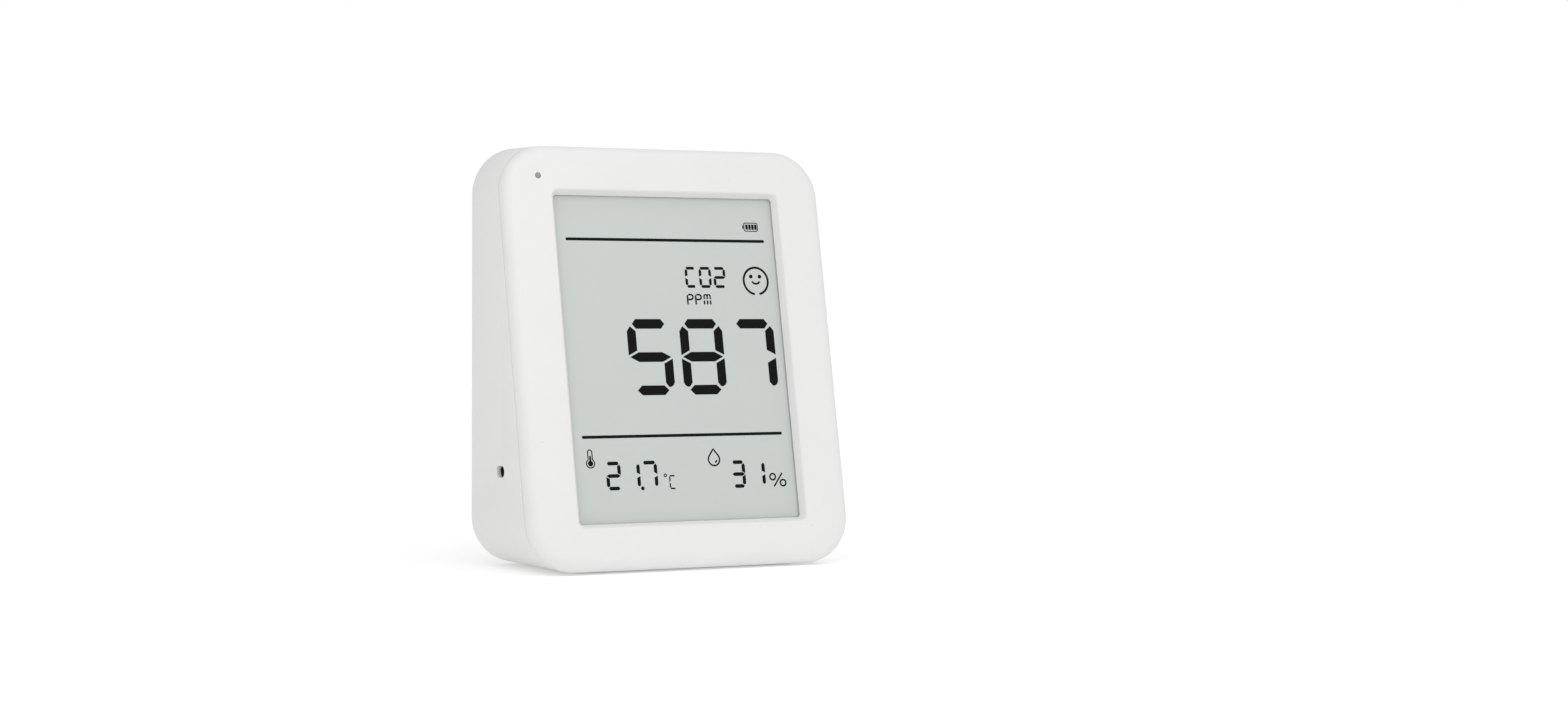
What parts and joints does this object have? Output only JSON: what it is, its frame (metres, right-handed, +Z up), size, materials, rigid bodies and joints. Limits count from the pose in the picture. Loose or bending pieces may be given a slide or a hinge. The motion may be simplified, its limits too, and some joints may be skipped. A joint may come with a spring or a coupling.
{
  "type": "carbon dioxide monitor",
  "caption": "Desktop carbon dioxide monitor: wedge-shaped white case, leaning segment display, back vents and button, side socket, cell bay behind a lift-off door.",
  "frame": {"origin": "on the surface that the monitor stands on, under the middle of its case", "axes": "+Z up, the display faces -Y and leans back by 11.5 degrees, +X to the right of somebody who reads it"},
  "size_m": [0.065, 0.0296, 0.077],
  "materials": {
    "case_white": "fine matte moulded ABS, white",
    "silicone_grey": "matt silicone, grey",
    "polariser_film": "anti-glare film with the display's dark segments seen through it",
    "display_glass": "pale grey-green display glass",
    "reflector_film": "satin silvery film",
    "plastic_black": "black moulded plastic",
    "polyimide_amber": "amber polyimide with copper tracks",
    "clear_pipe": "clear polycarbonate, grey where the light is off",
    "lamp_resin": "lamp chip under yellowish resin",
    "board_green": "green solder mask on glass laminate",
    "wire_grey": "grey flexible insulation",
    "wire_red": "red flexible insulation",
    "wire_black": "black flexible insulation",
    "steel_bright": "bright rolled steel sheet",
    "membrane_white": "white porous membrane",
    "foam_black": "closed-cell foam, black",
    "chip_black": "black moulding compound",
    "aluminium_can": "bright aluminium can",
    "screw_steel": "zinc-plated steel",
    "cell_jacket": "plain blue cell jacket with bare steel ends",
    "nickel_plate": "nickel-plated spring steel"
  },
  "bodies": {
    "root": {"front_bezel": "case_white", "rear_housing": "case_white", "base_pad": "silicone_grey", "front_polariser": "polariser_film", "display_glass": "display_glass", "rear_reflector": "reflector_film", "display_frame": "plastic_black", "display_flex": "polyimide_amber", "flex_connector": "plastic_black", "light_pipe": "clear_pipe", "status_lamp": "lamp_resin", "main_board": "board_green", "climate_board": "board_green", "climate_sensor": "plastic_black", "climate_lead": "wire_grey", "positive_lead": "wire_red", "negative_lead": "wire_black", "sensor_body": "steel_bright", "sensor_membrane": "membrane_white", "sensor_gasket": "foam_black", "radio_shield": "steel_bright", "buzzer": "plastic_black", "processor": "chip_black", "power_inductor": "chip_black", "clock_crystal": "steel_bright", "storage_capacitor": "aluminium_can", "switch_body": "plastic_black", "usb_shell": "steel_bright", "usb_tongue": "plastic_black", "contact_bridge": "nickel_plate", "contact_positive": "nickel_plate", "contact_negative": "nickel_plate", "spring_upper": "nickel_plate", "spring_lower": "nickel_plate", "board_screw_1": "screw_steel", "frame_screw_1": "screw_steel", "board_screw_2": "screw_steel", "frame_screw_2": "screw_steel", "board_screw_3": "screw_steel", "frame_screw_3": "screw_steel", "board_screw_4": "screw_steel", "frame_screw_4": "screw_steel", "case_screw_high_left": "screw_steel", "case_screw_low_left": "screw_steel", "case_screw_high_right": "screw_steel", "case_screw_low_right": "screw_steel"},
    "battery_door": {"battery_door": "case_white"},
    "cell_upper": {"cell_upper": "cell_jacket"},
    "cell_lower": {"cell_lower": "cell_jacket"},
    "mode_button": {"mode_button": "case_white"},
    "switch_plunger": {"switch_plunger": "plastic_black"}
  },
  "joints": [
    {"name": "battery_door_lift_off", "type": "slide", "parent": "root", "child": "battery_door", "axis": [0, 1, 0], "range_m": [0, 0.04]},
    {"name": "cell_upper_take_out", "type": "slide", "parent": "root", "child": "cell_upper", "axis": [0, 1, 0], "range_m": [0, 0.02]},
    {"name": "cell_lower_take_out", "type": "slide", "parent": "root", "child": "cell_lower", "axis": [0, 1, 0], "range_m": [0, 0.02]},
    {"name": "mode_button_press", "type": "slide", "parent": "root", "child": "mode_button", "axis": [0, -1, 0], "range_m": [0, 0.0004], "stiffness_N_per_m": 2000},
    {"name": "switch_plunger_press", "type": "slide", "parent": "root", "child": "switch_plunger", "axis": [0, -1, 0], "range_m": [0, 0.0004]}
  ],
  "couplings": [
    {"joint": "cell_upper_take_out", "follows": "battery_door_lift_off", "ratio": 0.5},
    {"joint": "cell_lower_take_out", "follows": "battery_door_lift_off", "ratio": 0.5},
    {"joint": "switch_plunger_press", "follows": "mode_button_press", "ratio": 1}
  ]
}
